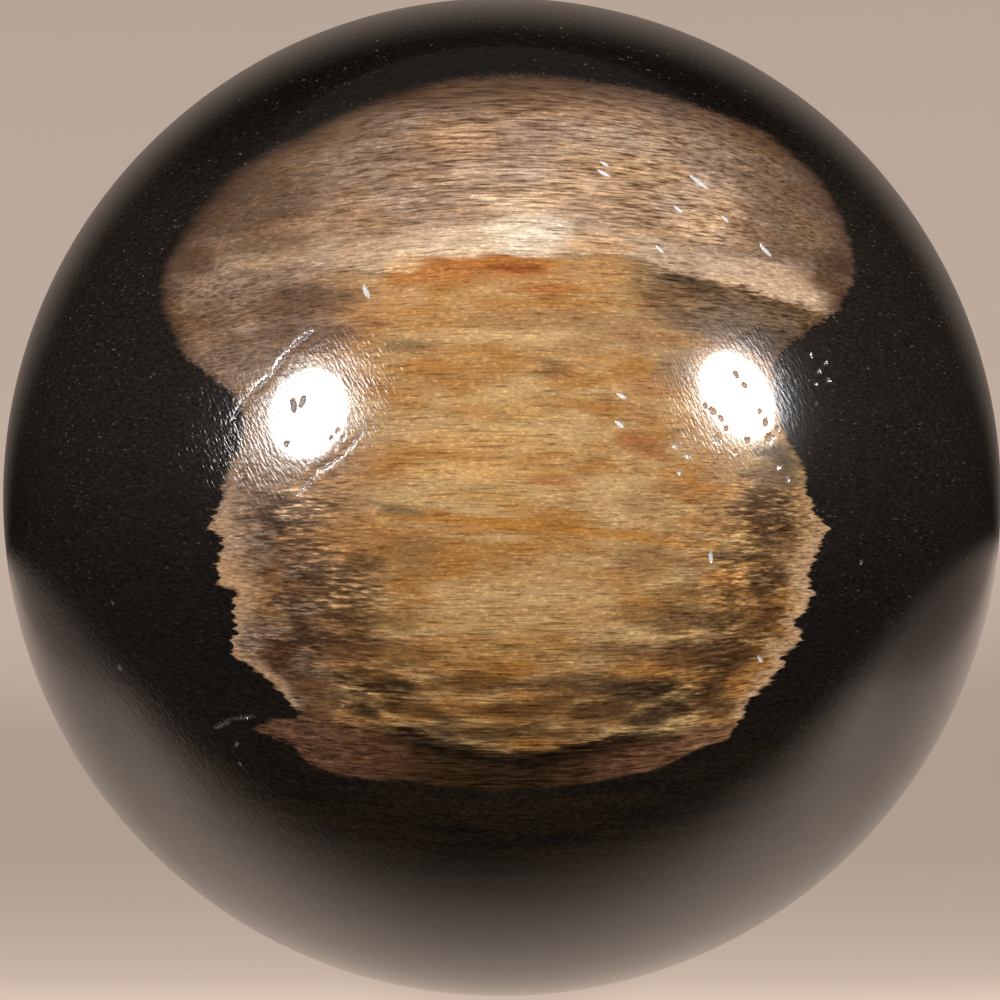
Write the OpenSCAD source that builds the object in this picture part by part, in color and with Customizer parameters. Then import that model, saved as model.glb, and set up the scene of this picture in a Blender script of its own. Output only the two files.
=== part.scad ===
// Polished petrified wood sphere.
// One solid ball of silicified wood, ground round and polished all over. The polish
// leaves the wood's own flaws open on the face that shows the pale wood: lens-shaped
// slits, round pits and fine fissures. The grain runs along X, and Z is up.

/* [Ball] */
// Diameter of the polished ball
ball_d = 100; // [50:1:200]
// How far the middle of the open wood face looks up from level, in degrees
face_tilt = 15; // [0:1:45]

/* [Slits] */
// Length of the longest slit
slit_l = 2.7; // [1.5:0.1:3.5]
// Width of the longest slit at the surface
slit_w = 0.65; // [0.3:0.05:1]
// Depth of the longest slit at its middle
slit_depth = 0.35; // [0.15:0.05:0.5]
// Lean of the slits from upright, in degrees, with their tops to the left
slit_lean = 40; // [0:1:60]

/* [Pits] */
// Width of the largest pit at the surface
pit_w = 0.6; // [0.4:0.05:1]
// Depth of the largest pit
pit_depth = 0.15; // [0.08:0.01:0.2]

/* [Fissures] */
// Length of one straight run of a fissure
fissure_run = 3.2; // [2:0.1:5]
// Width of a fissure at the surface
fissure_w = 0.4; // [0.2:0.02:0.6]
// Depth of a fissure at the middle of a run
fissure_depth = 0.3; // [0.15:0.05:0.6]
// Share of a run that it steps on by before the next run starts
fissure_step_share = 0.9; // [0.8:0.05:1.2]
// How far each run swings off the fissure's own line, in degrees, to one side and the other
fissure_jog = 9; // [4:1:20]

/* [Hidden] */
$fn = 96;

ball_r = ball_d / 2;

// Where the slits lie: degrees to the right and up from the middle of the face, how far
// each one turns off the common lean, and its share of the longest slit's length and
// depth. A short slit is stubbier, so its width follows the square root of the share.
// The last two meet at their lower ends and make a small V.
slit_places_shares = [
    [27.1, 36.1, 1, 1], [14.1, 38.3, 8, 0.44], [13.7, 37, 15, 0.59], [22.8, 32.3, 0, 0.48],
    [19.1, 27.2, 0, 0.44], [33.6, 27.4, -5, 0.69], [29.1, 31.2, 0, 0.4], [-15.6, 22.1, -10, 0.65],
    [12.8, 10.6, 20, 0.44], [12.5, 7.6, 10, 0.41], [22.6, -6.3, -30, 0.48], [30, -17.4, 0, 0.4],
    [-22.8, 9.7, -27, 0.56], [-21.8, 10.1, -65, 0.48],
];

// Where the pits lie, in the same degrees, and each one's share of the largest pit.
// They crowd on the right of the face, and a few lie apart on the left and below.
pit_places_shares = [
    [-23.4, 5.6, 0.62], [-17.5, 7, 0.56], [-18.2, 6.2, 0.5], [-16.9, 6.2, 0.5],
    [26.2, 13.1, 0.69], [27.1, 11.9, 0.69], [28.7, 9.1, 0.62], [29.3, 7.9, 0.81],
    [26.9, 5.9, 0.81], [23.3, 6.2, 0.94], [24.4, 7.2, 0.62], [23, 9, 0.88], [22.1, 9.6, 0.62],
    [23.9, 8.3, 0.62], [29.7, 6.2, 1], [30.8, 7.2, 0.62], [36.4, 15.2, 0.62], [38.4, 14.4, 0.81],
    [38.4, 12.5, 0.75], [36.4, 12.1, 0.62], [37.2, 13.5, 0.75], [18.6, 5.4, 0.75],
    [20.1, 4.3, 0.88], [19, 2.6, 0.62], [31.9, 2, 0.69], [30.6, 3.3, 0.62], [25.5, 4.8, 0.62],
    [-34, -27.5, 0.8], [-34.5, -30, 0.6], [-50, -19, 0.8], [-48.5, -11.5, 0.6],
    [-18.5, -22.5, 0.6], [42.5, -7, 0.7],
];

// Each fissure: degrees to the right and up where it starts, the rise of its line
// above level in degrees, and its number of runs.
fissures = [
    [-29.2, 9.4, 48, 4],
    [-21, 1.4, 40, 3],
    [-35, -25, 14, 2],
];

// How far the ball's surface falls away below the tangent plane at this distance.
function fall(across) = ball_r - sqrt(ball_r ^ 2 - across ^ 2);

// Radius of a circle that cuts the ball this wide and this deep.
function cutter_r(width, depth) =
    let (half = width / 2, bite = depth - fall(half))
    (half ^ 2 + bite ^ 2) / (2 * bite);

// Degrees round the ball that a length along its surface takes up.
function degrees_along(length) = length / ball_r * 180 / PI;

// Puts a cut on the ball's surface, this many degrees to the right and up from the
// middle of the face, with its own Z pointing out of the stone and Y up the face.
module on_face(right, up) {
    rotate([90 - face_tilt, 0, 0])
        rotate([-up, right, 0])
            translate([0, 0, ball_r])
                children();
}

// A round pit: a small ball that dips into the surface.
module pit(width, depth) {
    r = cutter_r(width, depth);
    translate([0, 0, r - depth]) sphere(r);
}

// A slit: a sharp-edged wheel that dips into the surface. It leaves a long lens
// with a V section, lying along its own Y.
module slit(length, width, depth) {
    r = cutter_r(length, depth);
    half_thick = width / 2 * r / depth;
    translate([0, 0, r - depth])
        rotate([0, 90, 0])
            rotate_extrude()
                polygon([[0, -half_thick], [r, 0], [0, half_thick]]);
}

// A fissure: straight runs one after another along a line over the ball, each one
// swung a little off the line, to one side and the other in turn.
module fissure(right, up, rise, runs) {
    step = degrees_along(fissure_run * fissure_step_share);
    for (k = [0 : runs - 1])
        on_face(right + k * step * cos(rise), up + k * step * sin(rise))
            rotate([0, 0, rise - 90 + (k % 2 == 0 ? fissure_jog : -fissure_jog)])
                slit(fissure_run, fissure_w, fissure_depth);
}

// The ball itself, with its flaws cut out of the polished surface.
module polished_sphere() {
    color([0.10, 0.07, 0.05])
        difference() {
            sphere(ball_r);
            for (p = slit_places_shares)
                on_face(p[0], p[1])
                    rotate([0, 0, slit_lean + p[2]])
                        slit(slit_l * p[3], slit_w * sqrt(p[3]), slit_depth * p[3]);
            for (p = pit_places_shares)
                on_face(p[0], p[1]) pit(pit_w * p[2], pit_depth * p[2]);
            for (f = fissures)
                fissure(f[0], f[1], f[2], f[3]);
        }
}

polished_sphere();
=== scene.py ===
# %% [markdown]
# # A polished sphere of petrified wood
# The object is one solid ball of stone. Millions of years ago it was wood, and quartz
# took the wood's place cell by cell, so the grain still shows. A lapidary sawed a block,
# ground it round and polished it. Most of it is nearly black, and on the front a window
# of paler wood shows. This lesson loads the ball's exact size, lights it, models its
# surface with the small flaws that the polish left open, and paints the wood with nodes.

# %% Load the frame
from math import asin, cos, pi, radians, sin, tan

import bmesh
import bpy
from mathutils import Matrix, Vector, noise
from mathutils.kdtree import KDTree


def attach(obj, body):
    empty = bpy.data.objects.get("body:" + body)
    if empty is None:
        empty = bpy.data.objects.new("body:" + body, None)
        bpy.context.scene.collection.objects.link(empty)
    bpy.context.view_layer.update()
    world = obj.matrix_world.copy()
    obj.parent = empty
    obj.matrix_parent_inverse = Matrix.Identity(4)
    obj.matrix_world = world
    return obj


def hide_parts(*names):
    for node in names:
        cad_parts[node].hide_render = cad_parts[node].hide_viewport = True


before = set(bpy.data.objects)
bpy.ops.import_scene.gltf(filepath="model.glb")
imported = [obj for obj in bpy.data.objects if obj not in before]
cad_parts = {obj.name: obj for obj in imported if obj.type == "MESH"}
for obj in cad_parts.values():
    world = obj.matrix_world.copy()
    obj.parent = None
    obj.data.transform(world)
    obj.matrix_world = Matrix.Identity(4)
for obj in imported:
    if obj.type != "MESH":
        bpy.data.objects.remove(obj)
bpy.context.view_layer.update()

MM = 0.001
BALL_R = 50 * MM

# %% [markdown]
# ## The camera
# The picture shows the ball almost filling the frame, from a little above its middle.
# The window faces the camera squarely, so one turned frame serves for both: X runs to
# the right along the grain, Y up the face, and Z out of the stone towards the camera.
# A long lens ten radii away keeps the ball's outline nearly as wide as the ball itself.

# %% Camera
FACE_TILT = radians(15)
FACE = Matrix.Rotation(pi / 2 - FACE_TILT, 3, "X")
CAMERA_RADII = 10
OUTLINE_SHARE = 0.499  # radius of the outline, as a share of the picture's width
SENSOR = 36
SHIFT = (-0.002, -0.003)  # moves the ball a little right and up in the picture

lens_data = bpy.data.cameras.new("camera")
lens_data.sensor_width = SENSOR
outline_slope = tan(asin(1 / CAMERA_RADII))
lens_data.lens = SENSOR * OUTLINE_SHARE / outline_slope
lens_data.shift_x, lens_data.shift_y = SHIFT
camera = bpy.data.objects.new("camera", lens_data)
eye = FACE @ Vector((0, 0, CAMERA_RADII * BALL_R))
camera.matrix_world = Matrix.Translation(eye) @ FACE.to_4x4()
bpy.context.collection.objects.link(camera)
bpy.context.scene.camera = camera
bpy.context.scene.view_settings.view_transform = "Standard"
print("lens:", round(lens_data.lens, 1), "mm, camera at", [round(v, 3) for v in eye])

# %% [markdown]
# ## Flaws in the polish
# The stone has weak spots that broke out as it was ground, and the polish left them open:
# lens-shaped slits, small round pits and fine fissures. One list of their places on the
# face, the same as the solid's, shapes the mesh and tells the material where they are.

# %% Flaws in the polish
SLITS = [(27.1, 36.1, 1, 1), (14.1, 38.3, 8, 0.44), (13.7, 37, 15, 0.59), (22.8, 32.3, 0, 0.48),
         (19.1, 27.2, 0, 0.44), (33.6, 27.4, -5, 0.69), (29.1, 31.2, 0, 0.4), (-15.6, 22.1, -10, 0.65),
         (12.8, 10.6, 20, 0.44), (12.5, 7.6, 10, 0.41), (22.6, -6.3, -30, 0.48),
         (30, -17.4, 0, 0.4)]  # degrees right and up, turn, share
CHIPS = [(-22.8, 9.7, -27, 0.56), (-21.8, 10.1, -65, 0.48)]
PITS = [(-23.4, 5.6, 0.62), (-17.5, 7, 0.56), (-18.2, 6.2, 0.5), (-16.9, 6.2, 0.5), (26.2, 13.1, 0.69),
        (27.1, 11.9, 0.69), (28.7, 9.1, 0.62), (29.3, 7.9, 0.81), (26.9, 5.9, 0.81), (23.3, 6.2, 0.94),
        (24.4, 7.2, 0.62), (23, 9, 0.88), (22.1, 9.6, 0.62), (23.9, 8.3, 0.62), (29.7, 6.2, 1),
        (30.8, 7.2, 0.62), (36.4, 15.2, 0.62), (38.4, 14.4, 0.81), (38.4, 12.5, 0.75), (36.4, 12.1, 0.62),
        (37.2, 13.5, 0.75), (18.6, 5.4, 0.75), (20.1, 4.3, 0.88), (19, 2.6, 0.62), (31.9, 2, 0.69),
        (30.6, 3.3, 0.62), (25.5, 4.8, 0.62), (-34, -27.5, 0.8), (-34.5, -30, 0.6), (-50, -19, 0.8),
        (-48.5, -11.5, 0.6), (-18.5, -22.5, 0.6), (42.5, -7, 0.7)]  # degrees right and up, share
FISSURES = [(-29.2, 9.4, 48, 4, 1), (-21, 1.4, 40, 3, 0.4),
            (-35, -25, 14, 2, 0.6)]  # degrees right and up, rise, runs, wear
SLIT_SIZE = (2.7 * MM, 0.65 * MM, 0.35 * MM)  # length, width, depth
SLIT_LEAN = 40  # degrees from upright
PIT_SIZE = (0.6 * MM, 0.6 * MM, 0.15 * MM)
RUN_SIZE = (3.2 * MM, 0.4 * MM, 0.3 * MM)
RUN_STEP = 0.9  # a run starts after this share of the run before it
RUN_JOG = 9  # degrees that a run swings off its fissure's line


def on_face(right, up, turn=0):
    """The frame of a place on the face, turned about its own outward axis."""
    swing = Matrix.Rotation(radians(right), 3, "Y") @ Matrix.Rotation(radians(-up), 3, "X")
    return FACE @ swing @ Matrix.Rotation(radians(turn), 3, "Z")


flaws = []  # kind, frame, length, width, depth, wear
for kind, rows in (("slit", SLITS), ("chip", CHIPS)):
    for right, up, turn, share in rows:
        length, width, depth = SLIT_SIZE
        flaws.append((kind, on_face(right, up, SLIT_LEAN + turn),
                      length * share, width * share ** 0.5, depth * share, 0))
for right, up, share in PITS:
    flaws.append(("pit", on_face(right, up), *(share * value for value in PIT_SIZE), 0))
for right, up, rise, runs, wear in FISSURES:
    step = RUN_SIZE[0] * RUN_STEP / BALL_R * 180 / pi
    for run in range(runs):
        frame_here = on_face(right + run * step * cos(radians(rise)),
                             up + run * step * sin(radians(rise)),
                             rise - 90 + (RUN_JOG if run % 2 == 0 else -RUN_JOG))
        flaws.append(("fissure", frame_here, *RUN_SIZE, wear))
print("flaws:", len(flaws))

# %% [markdown]
# ## The ball
# Grinding gives a true sphere, so the mesh starts as an icosphere, whose faces are all
# about the same size and which has no poles. The edges on the face are split once, for
# the pools of colour to come. Round each flaw they are split twice more, and the new
# points go back on the sphere, so the faces are fine only where they have to be.

# %% Ball mesh
def link_mesh(name, shape):
    """Turns a bmesh into an object at the origin."""
    mesh = bpy.data.meshes.new(name)
    shape.to_mesh(mesh)
    shape.free()
    made = bpy.data.objects.new(name, mesh)
    bpy.context.collection.objects.link(made)
    return made


ICO_LEVEL = 7
FACE_REACH = 54  # degrees from the middle of the face that the window and its pools take up
SPLIT_MARGINS = (0.6 * MM, 0.25 * MM)  # round a flaw, each time that its edges are split
SEARCH_MORE = 1 * MM  # how far past a flaw's end its points are looked for


def points_by_place(shape):
    """A search tree of a mesh's points."""
    shape.verts.ensure_lookup_table()
    found = KDTree(len(shape.verts))
    for number, point in enumerate(shape.verts):
        found.insert(point.co, number)
    found.balance()
    return found


def split_near(points):
    """Halves the edges at these points, with the new points back on the sphere."""
    edges = {edge for point in points for edge in point.link_edges}
    bmesh.ops.subdivide_edges(ball_shape, edges=list(edges), cuts=1, use_grid_fill=True)
    bmesh.ops.triangulate(ball_shape, faces=[f for f in ball_shape.faces if len(f.verts) > 3])
    for point in ball_shape.verts:
        point.co = point.co.normalized() * BALL_R


ball_shape = bmesh.new()
bmesh.ops.create_icosphere(ball_shape, subdivisions=ICO_LEVEL, radius=BALL_R)
least = BALL_R * cos(radians(FACE_REACH))
split_near([point for point in ball_shape.verts if point.co.dot(FACE.col[2]) > least])
for margin in SPLIT_MARGINS:
    by_place = points_by_place(ball_shape)
    near = set()
    for _, place, length, width, _, _ in flaws:
        for _, number, _ in by_place.find_range(place.col[2] * BALL_R, length / 2 + margin + SEARCH_MORE):
            point = ball_shape.verts[number]
            local = place.transposed() @ point.co
            if abs(local.x) < width / 2 + margin and abs(local.y) < length / 2 + margin:
                near.add(point)
    split_near(near)
print("ball:", len(ball_shape.faces), "triangles")

# %% [markdown]
# ## Pressing the flaws in
# A slit is where a cell wall or a vein of quartz broke out: a long lens with a V section.
# A pit is a shallow bowl, and a fissure is a chain of thin slits. Each point near a flaw
# moves straight in towards the ball's middle, by the depth of the flaw at that point, and
# a little noise makes the rims ragged, as broken stone is. Two layers keep where the
# quartz-filled slits and the other flaws lie, for the material to make them paler.

# %% Press in
RAGGED = {"slit": 0.2, "chip": 0.7, "pit": 1.6, "fissure": 1.6}
RAGGED_LEAST = -0.75  # keeps a ragged pit from running out of its place
GRIT = 0.18 * MM  # size of the grit that the rims follow
WORN = 0.03 * MM  # how far the polish rounded off the lips of a fissure
LIP_WIDE = 3.5  # width of both lips together, in widths of the fissure
MASK_RISE = 2.5  # how fast a flaw's layer rises from its rim
quartz = ball_shape.verts.layers.float.new("quartz")
opened = ball_shape.verts.layers.float.new("opened")
by_place = points_by_place(ball_shape)
sink = {}
for kind, place, length, width, depth, wear in flaws:
    for _, number, _ in by_place.find_range(place.col[2] * BALL_R, length / 2 + SEARCH_MORE):
        point = ball_shape.verts[number]
        local = place.transposed() @ point.co
        along, across = 2 * local.y / length, 2 * local.x / width
        ragged = max(RAGGED_LEAST, RAGGED[kind] * noise.noise(point.co / GRIT))
        if kind == "pit":
            share = 1 - (along * along + across * across) * (1 + ragged)
        else:
            share = 1 - along * along - abs(across + ragged)
        if kind == "fissure":
            lip = max(0, 1 - along * along) * max(0, 1 - (across / LIP_WIDE) ** 2) ** 2
            sink[number] = max(sink.get(number, 0), lip * wear * WORN)
        if share <= 0:
            continue
        sink[number] = max(sink.get(number, 0), share * depth)
        # The slits' layer later gets quartz white with a painted highlight; the other flaws' layer gets
        # pale broken stone with painted glints.
        shown_in = quartz if kind == "slit" else opened
        point[shown_in] = max(point[shown_in], min(1, MASK_RISE * share))
for number, depth in sink.items():
    point = ball_shape.verts[number]
    point.co = point.co.normalized() * (BALL_R - depth)
for face in ball_shape.faces:
    face.smooth = True
ball = link_mesh("stone_ball", ball_shape)
print("points pressed in:", len(sink), "deepest:", round(max(sink.values()) / MM, 3), "mm")

# %% [markdown]
# ## Pools of colour
# Many features of this piece of wood are soft pools of colour with a place of their own.
# Each pool is a soft ellipse, laid over the ones before it like a thin wash, and its edge
# is shaken along the grain. They are mixed once for each point of the mesh, because a
# wash this soft needs no finer grid, and a material reads a finished layer faster than it
# mixes a hundred washes. Places are as the camera sees them: U to the right and V up from
# the middle, and the lists give them and the sizes in thousandths of the ball's radius.

# %% Pool helpers
def linear(value):
    """One channel of a colour as the eye reads it, 0 to 255, made linear for the shader."""
    share = value / 255
    return share / 12.92 if share <= 0.04045 else ((share + 0.055) / 1.055) ** 2.4


def paint(red, green, blue):
    return (linear(red), linear(green), linear(blue), 1.0)


def seen_place(co):
    """Where the camera sees a point of the ball."""
    local = FACE.transposed() @ co / BALL_R
    spread = outline_slope * (CAMERA_RADII - local.z)
    return local.x / spread, local.y / spread


POOL_SOFT = 0.9  # share of a pool that its soft edge takes up


def pool_mask(u, v, across, up, long, high, lean):
    """1 in the core of a soft ellipse, 0 outside it."""
    right, above = u - across, v - up
    if abs(right) > long + high or abs(above) > long + high:
        return 0.0
    turned = radians(lean)
    far = ((right * cos(turned) + above * sin(turned)) / long) ** 2
    far += ((above * cos(turned) - right * sin(turned)) / high) ** 2
    rise = min(1.0, max(0.0, (1 - far) / POOL_SOFT))
    return rise * rise * (3 - 2 * rise)


print("a pool's middle, edge:", pool_mask(0, 0, 0, 0, 1, 1, 0), pool_mask(1, 0, 0, 0, 1, 1, 0))

# %% [markdown]
# ## The dome
# The upper part of the window is a dome of greyer wood in arched layers: brown at the top,
# palest at the bottom, and darker on both shoulders.

# %% Dome pools
DOME = [  # U, V, half-length and half-height in thousandths, lean, colour, strength
    (-4, 804, 341, 48, 0, (126, 97, 75), 0.8),  # brown top
    (46, 675, 424, 129, 0, (176, 145, 118), 0.6),  # light middle
    (-204, 691, 147, 74, 0, (142, 113, 88), 0.7),  # left of the middle
    (236, 695, 157, 63, -4, (188, 157, 127), 0.75),  # right of the middle
    (377, 605, 147, 66, -10, (190, 160, 132), 0.75),  # light shoulder
    (407, 535, 101, 41, -8, (200, 168, 138), 0.8),  # light shoulder, low
    (-88, 711, 92, 41, 0, (192, 157, 128), 0.7),  # light layer, high
    (-4, 659, 129, 33, 0, (198, 165, 136), 0.6),  # second light layer
    (196, 772, 111, 29, 0, (166, 132, 105), 0.7),  # light layer, top right
    (116, 625, 166, 44, 0, (194, 164, 140), 0.7),  # pale layer
    (16, 589, 157, 33, 0, (228, 198, 168), 0.8),  # pale layer over the cream
    (196, 567, 92, 48, 0, (176, 146, 121), 0.8),  # pale layer, right
    (-144, 579, 157, 41, 0, (180, 147, 119), 0.7),  # pale layer, left
    (-305, 565, 120, 41, 6, (176, 143, 117), 0.7),  # left light layer
    (-275, 495, 83, 22, 4, (208, 172, 138), 0.7),  # left light layer, low
    (-84, 495, 111, 18, 4, (244, 213, 176), 0.8),  # light end of the seam
    (-54, 519, 101, 29, 0, (226, 196, 162), 0.6),  # pale layer beside the cream
    (196, 499, 101, 22, 0, (206, 163, 120), 0.7),  # warm end of the seam
    (557, 595, 129, 92, -30, (128, 101, 78), 0.75),  # right shoulder
    (577, 505, 92, 44, -20, (126, 99, 75), 0.8),  # right shoulder, low
    (661, 447, 52, 74, 0, (94, 71, 53), 0.85),  # right edge
    (525, 463, 74, 18, -14, (206, 173, 141), 0.7),  # light layer over the pocket
    (-495, 585, 175, 83, 20, (110, 84, 64), 0.8),  # left shoulder
    (-605, 471, 63, 41, 10, (98, 73, 55), 0.75),  # left end
    (-481, 447, 103, 20, 6, (140, 109, 85), 0.7),  # light layer, left end
    (-481, 503, 107, 28, 8, (106, 80, 61), 0.65),  # left shoulder, low
    (-405, 391, 157, 48, 5, (104, 77, 57), 0.8),  # dark layer of the left lobe
    (-595, 359, 66, 44, 0, (124, 95, 74), 0.8),  # tip of the left lobe
    (-525, 295, 83, 41, -20, (128, 101, 79), 0.8),  # heel of the left lobe
    (-395, 319, 129, 41, 0, (108, 80, 60), 0.8),  # lower left lobe
    (-214, 391, 77, 41, 0, (200, 150, 102), 0.7),  # warm end of the left lobe
    (467, 355, 203, 66, -10, (114, 93, 75), 0.85),  # below the pocket
    (341, 395, 74, 41, -8, (134, 102, 72), 0.65),  # left end of the pocket
    (381, 431, 92, 17, -12, (84, 67, 50), 0.85),  # heart of the pocket
]
print("dome pools:", len(DOME))

# %% [markdown]
# ## The golden middle
# Below the dome the wood is golden, in level layers from rust-red to olive. The pools here
# are long and thin, as the layers are.

# %% Pools of the golden middle
MIDDLE = [
    (-194, 467, 70, 18, 12, (232, 188, 138), 0.85),  # light end of the rust
    (-124, 443, 74, 17, 8, (190, 126, 72), 0.8),  # rust heart, left
    (26, 459, 83, 15, 0, (132, 68, 30), 0.85),  # rust heart, middle
    (76, 415, 111, 11, 0, (176, 106, 56), 0.7),  # second rust layer
    (176, 445, 74, 29, 0, (192, 144, 98), 0.7),  # right of the rust
    (-64, 371, 184, 26, 0, (188, 134, 80), 0.5),  # orange layer
    (196, 343, 111, 33, -4, (160, 123, 84), 0.75),  # grey layer, right
    (56, 359, 157, 29, 0, (164, 124, 83), 0.6),  # grey layer
    (287, 325, 74, 48, -10, (164, 124, 86), 0.8),  # brown shade
    (353, 259, 55, 63, -10, (150, 117, 82), 0.8),  # brown shade, low
    (533, 311, 70, 41, -15, (86, 70, 57), 0.85),  # dark corner
    (-194, 303, 77, 24, 0, (128, 94, 60), 0.8),  # brown fleck
    (146, 303, 101, 22, 0, (166, 126, 83), 0.7),  # dull layer
    (-74, 246, 157, 33, 0, (174, 121, 64), 0.75),  # orange pool
    (92, 255, 48, 28, 0, (134, 92, 54), 0.7),  # brown knot
    (126, 230, 74, 22, 0, (174, 122, 68), 0.7),  # below the knot
    (277, 226, 66, 29, -10, (176, 130, 88), 0.7),  # dull pool, right
    (208, 178, 66, 33, 0, (172, 118, 62), 0.85),  # red pool, right
    (287, 170, 48, 29, -10, (172, 122, 78), 0.7),  # red pool, far right
    (66, 170, 83, 18, -14, (204, 160, 100), 0.8),  # light streak
    (-64, 170, 83, 24, 0, (188, 134, 76), 0.7),  # orange streak
    (-44, 114, 212, 37, 0, (214, 168, 110), 0.7),  # light gold
    (287, 106, 70, 37, -15, (164, 104, 60), 0.85),  # red pool
    (377, 110, 48, 33, 0, (190, 154, 112), 0.6),  # pale pool by the spot
    (-44, 54, 194, 33, 0, (216, 170, 112), 0.8),  # lightest gold
    (102, 36, 83, 18, 0, (178, 118, 68), 0.75),  # red streak
    (-64, 2, 129, 22, 0, (196, 150, 92), 0.7),  # pale streak
    (341, 14, 77, 22, -6, (168, 118, 72), 0.7),  # red layer, right
    (277, -16, 63, 22, -10, (170, 130, 88), 0.7),  # dull layer, right
    (-204, -28, 55, 17, 0, (126, 102, 74), 0.8),  # grey fleck
    (-64, -48, 230, 15, -3, (188, 128, 56), 0.85),  # orange vein
    (277, -80, 203, 15, -7, (192, 128, 54), 0.85),  # orange vein, right
    (-24, -82, 138, 11, -2, (212, 176, 122), 0.7),  # pale line under the vein
    (-184, -96, 92, 22, 0, (146, 108, 66), 0.6),  # brown line under the vein
    (433, -160, 55, 20, -6, (196, 132, 72), 0.85),  # end of the vein
    (377, -76, 74, 29, -6, (184, 140, 92), 0.6),  # light layer, right
    (36, -190, 249, 48, 0, (206, 168, 116), 0.8),  # pale layer below the vein
    (36, -251, 175, 37, 0, (202, 162, 108), 0.8),  # pale layer, low
    (-24, -307, 194, 33, 0, (178, 138, 88), 0.8),  # olive layer
    (-44, -375, 157, 26, 0, (102, 71, 38), 0.8),  # brown layer
    (116, -387, 92, 41, 0, (112, 80, 50), 0.8),  # brown layer, right
    (36, -423, 138, 26, 0, (90, 62, 36), 0.8),  # lowest layers
    (-4, -471, 147, 24, 0, (96, 67, 39), 0.85),  # over the arc
    (146, -473, 83, 17, 6, (120, 86, 50), 0.7),  # light layer over the arc
    (-134, -473, 83, 18, -6, (94, 69, 50), 0.8),  # over the arc, left
]
print("middle pools:", len(MIDDLE))

# %% [markdown]
# ## The flanks
# Beside and below the gold the layers bend away and show dark and light by turns, so these
# pools are small and close. The mottled zones are where short dark dashes will crowd.

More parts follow.
